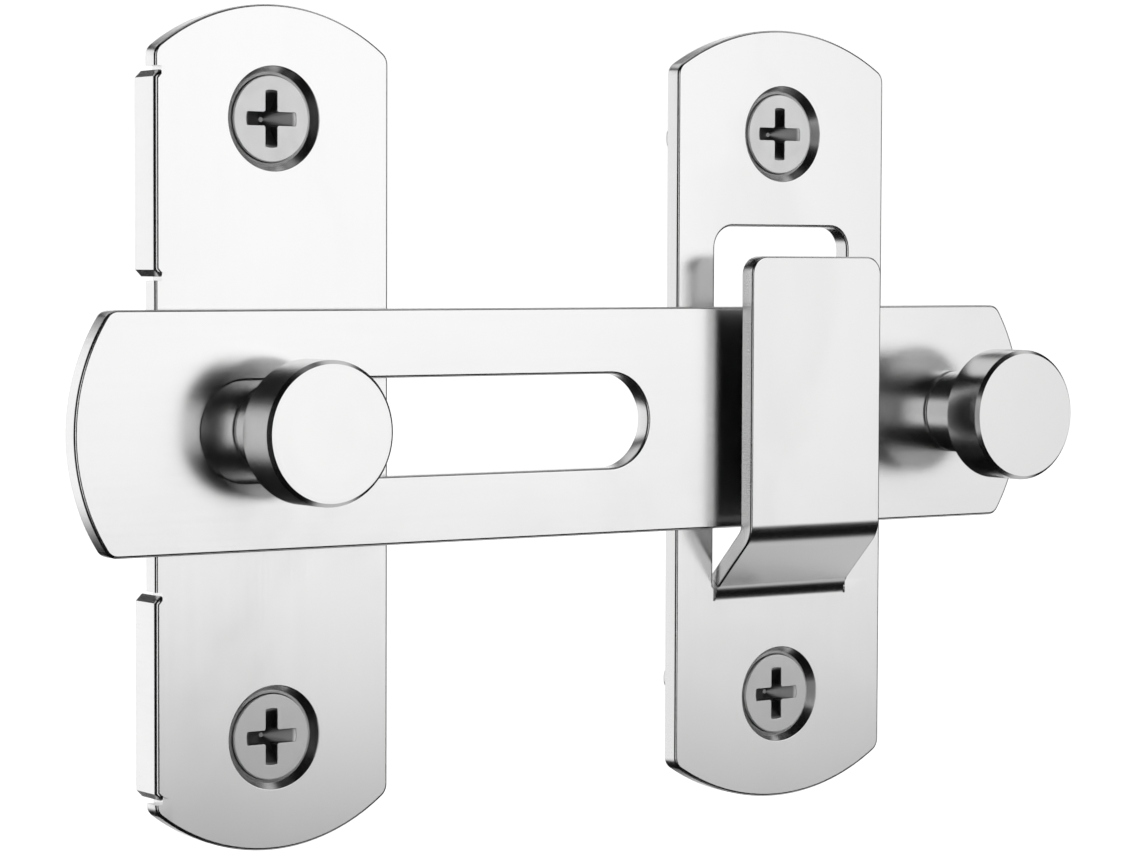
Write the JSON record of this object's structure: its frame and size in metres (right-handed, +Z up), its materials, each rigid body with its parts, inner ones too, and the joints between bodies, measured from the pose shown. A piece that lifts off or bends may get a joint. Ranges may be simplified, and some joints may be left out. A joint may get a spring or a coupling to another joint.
{
  "type": "toggle bolt latch",
  "caption": "Swinging slotted bar latch: the bar turns and slides on a knobbed pivot on a base plate and drops into a hook lanced from a keeper plate; countersunk screws.",
  "frame": {"origin": "pivot axis where it meets the mounting plane, which is the back of the base plate", "axes": "+Z up, +X along the bar from the pivot towards the keeper, -Y out towards the user"},
  "size_m": [0.127, 0.0347, 0.088],
  "materials": {
    "plate_steel": "satin polished sheet, nearly mirror smooth",
    "bar_steel": "satin polished sheet, nearly mirror smooth",
    "knob_steel": "turned and polished",
    "screw_steel": "matt zinc plated"
  },
  "bodies": {
    "plates": {"base_plate": "plate_steel", "keeper_plate": "plate_steel", "screw_base_upper": "screw_steel", "screw_base_lower": "screw_steel", "screw_keeper_upper": "screw_steel", "screw_keeper_lower": "screw_steel"},
    "pivot": {"pivot_knob": "knob_steel"},
    "bolt": {"bolt_bar": "bar_steel", "pull_knob": "knob_steel"}
  },
  "joints": [
    {"name": "swing", "type": "hinge", "parent": "plates", "child": "pivot", "pos_m": [0, 0, 0], "axis": [0, -1, 0], "range_deg": [-1.7, 326]},
    {"name": "slide", "type": "slide", "parent": "pivot", "child": "bolt", "axis": [1, 0, 0], "range_m": [-0.0104, 0.0049]}
  ]
}
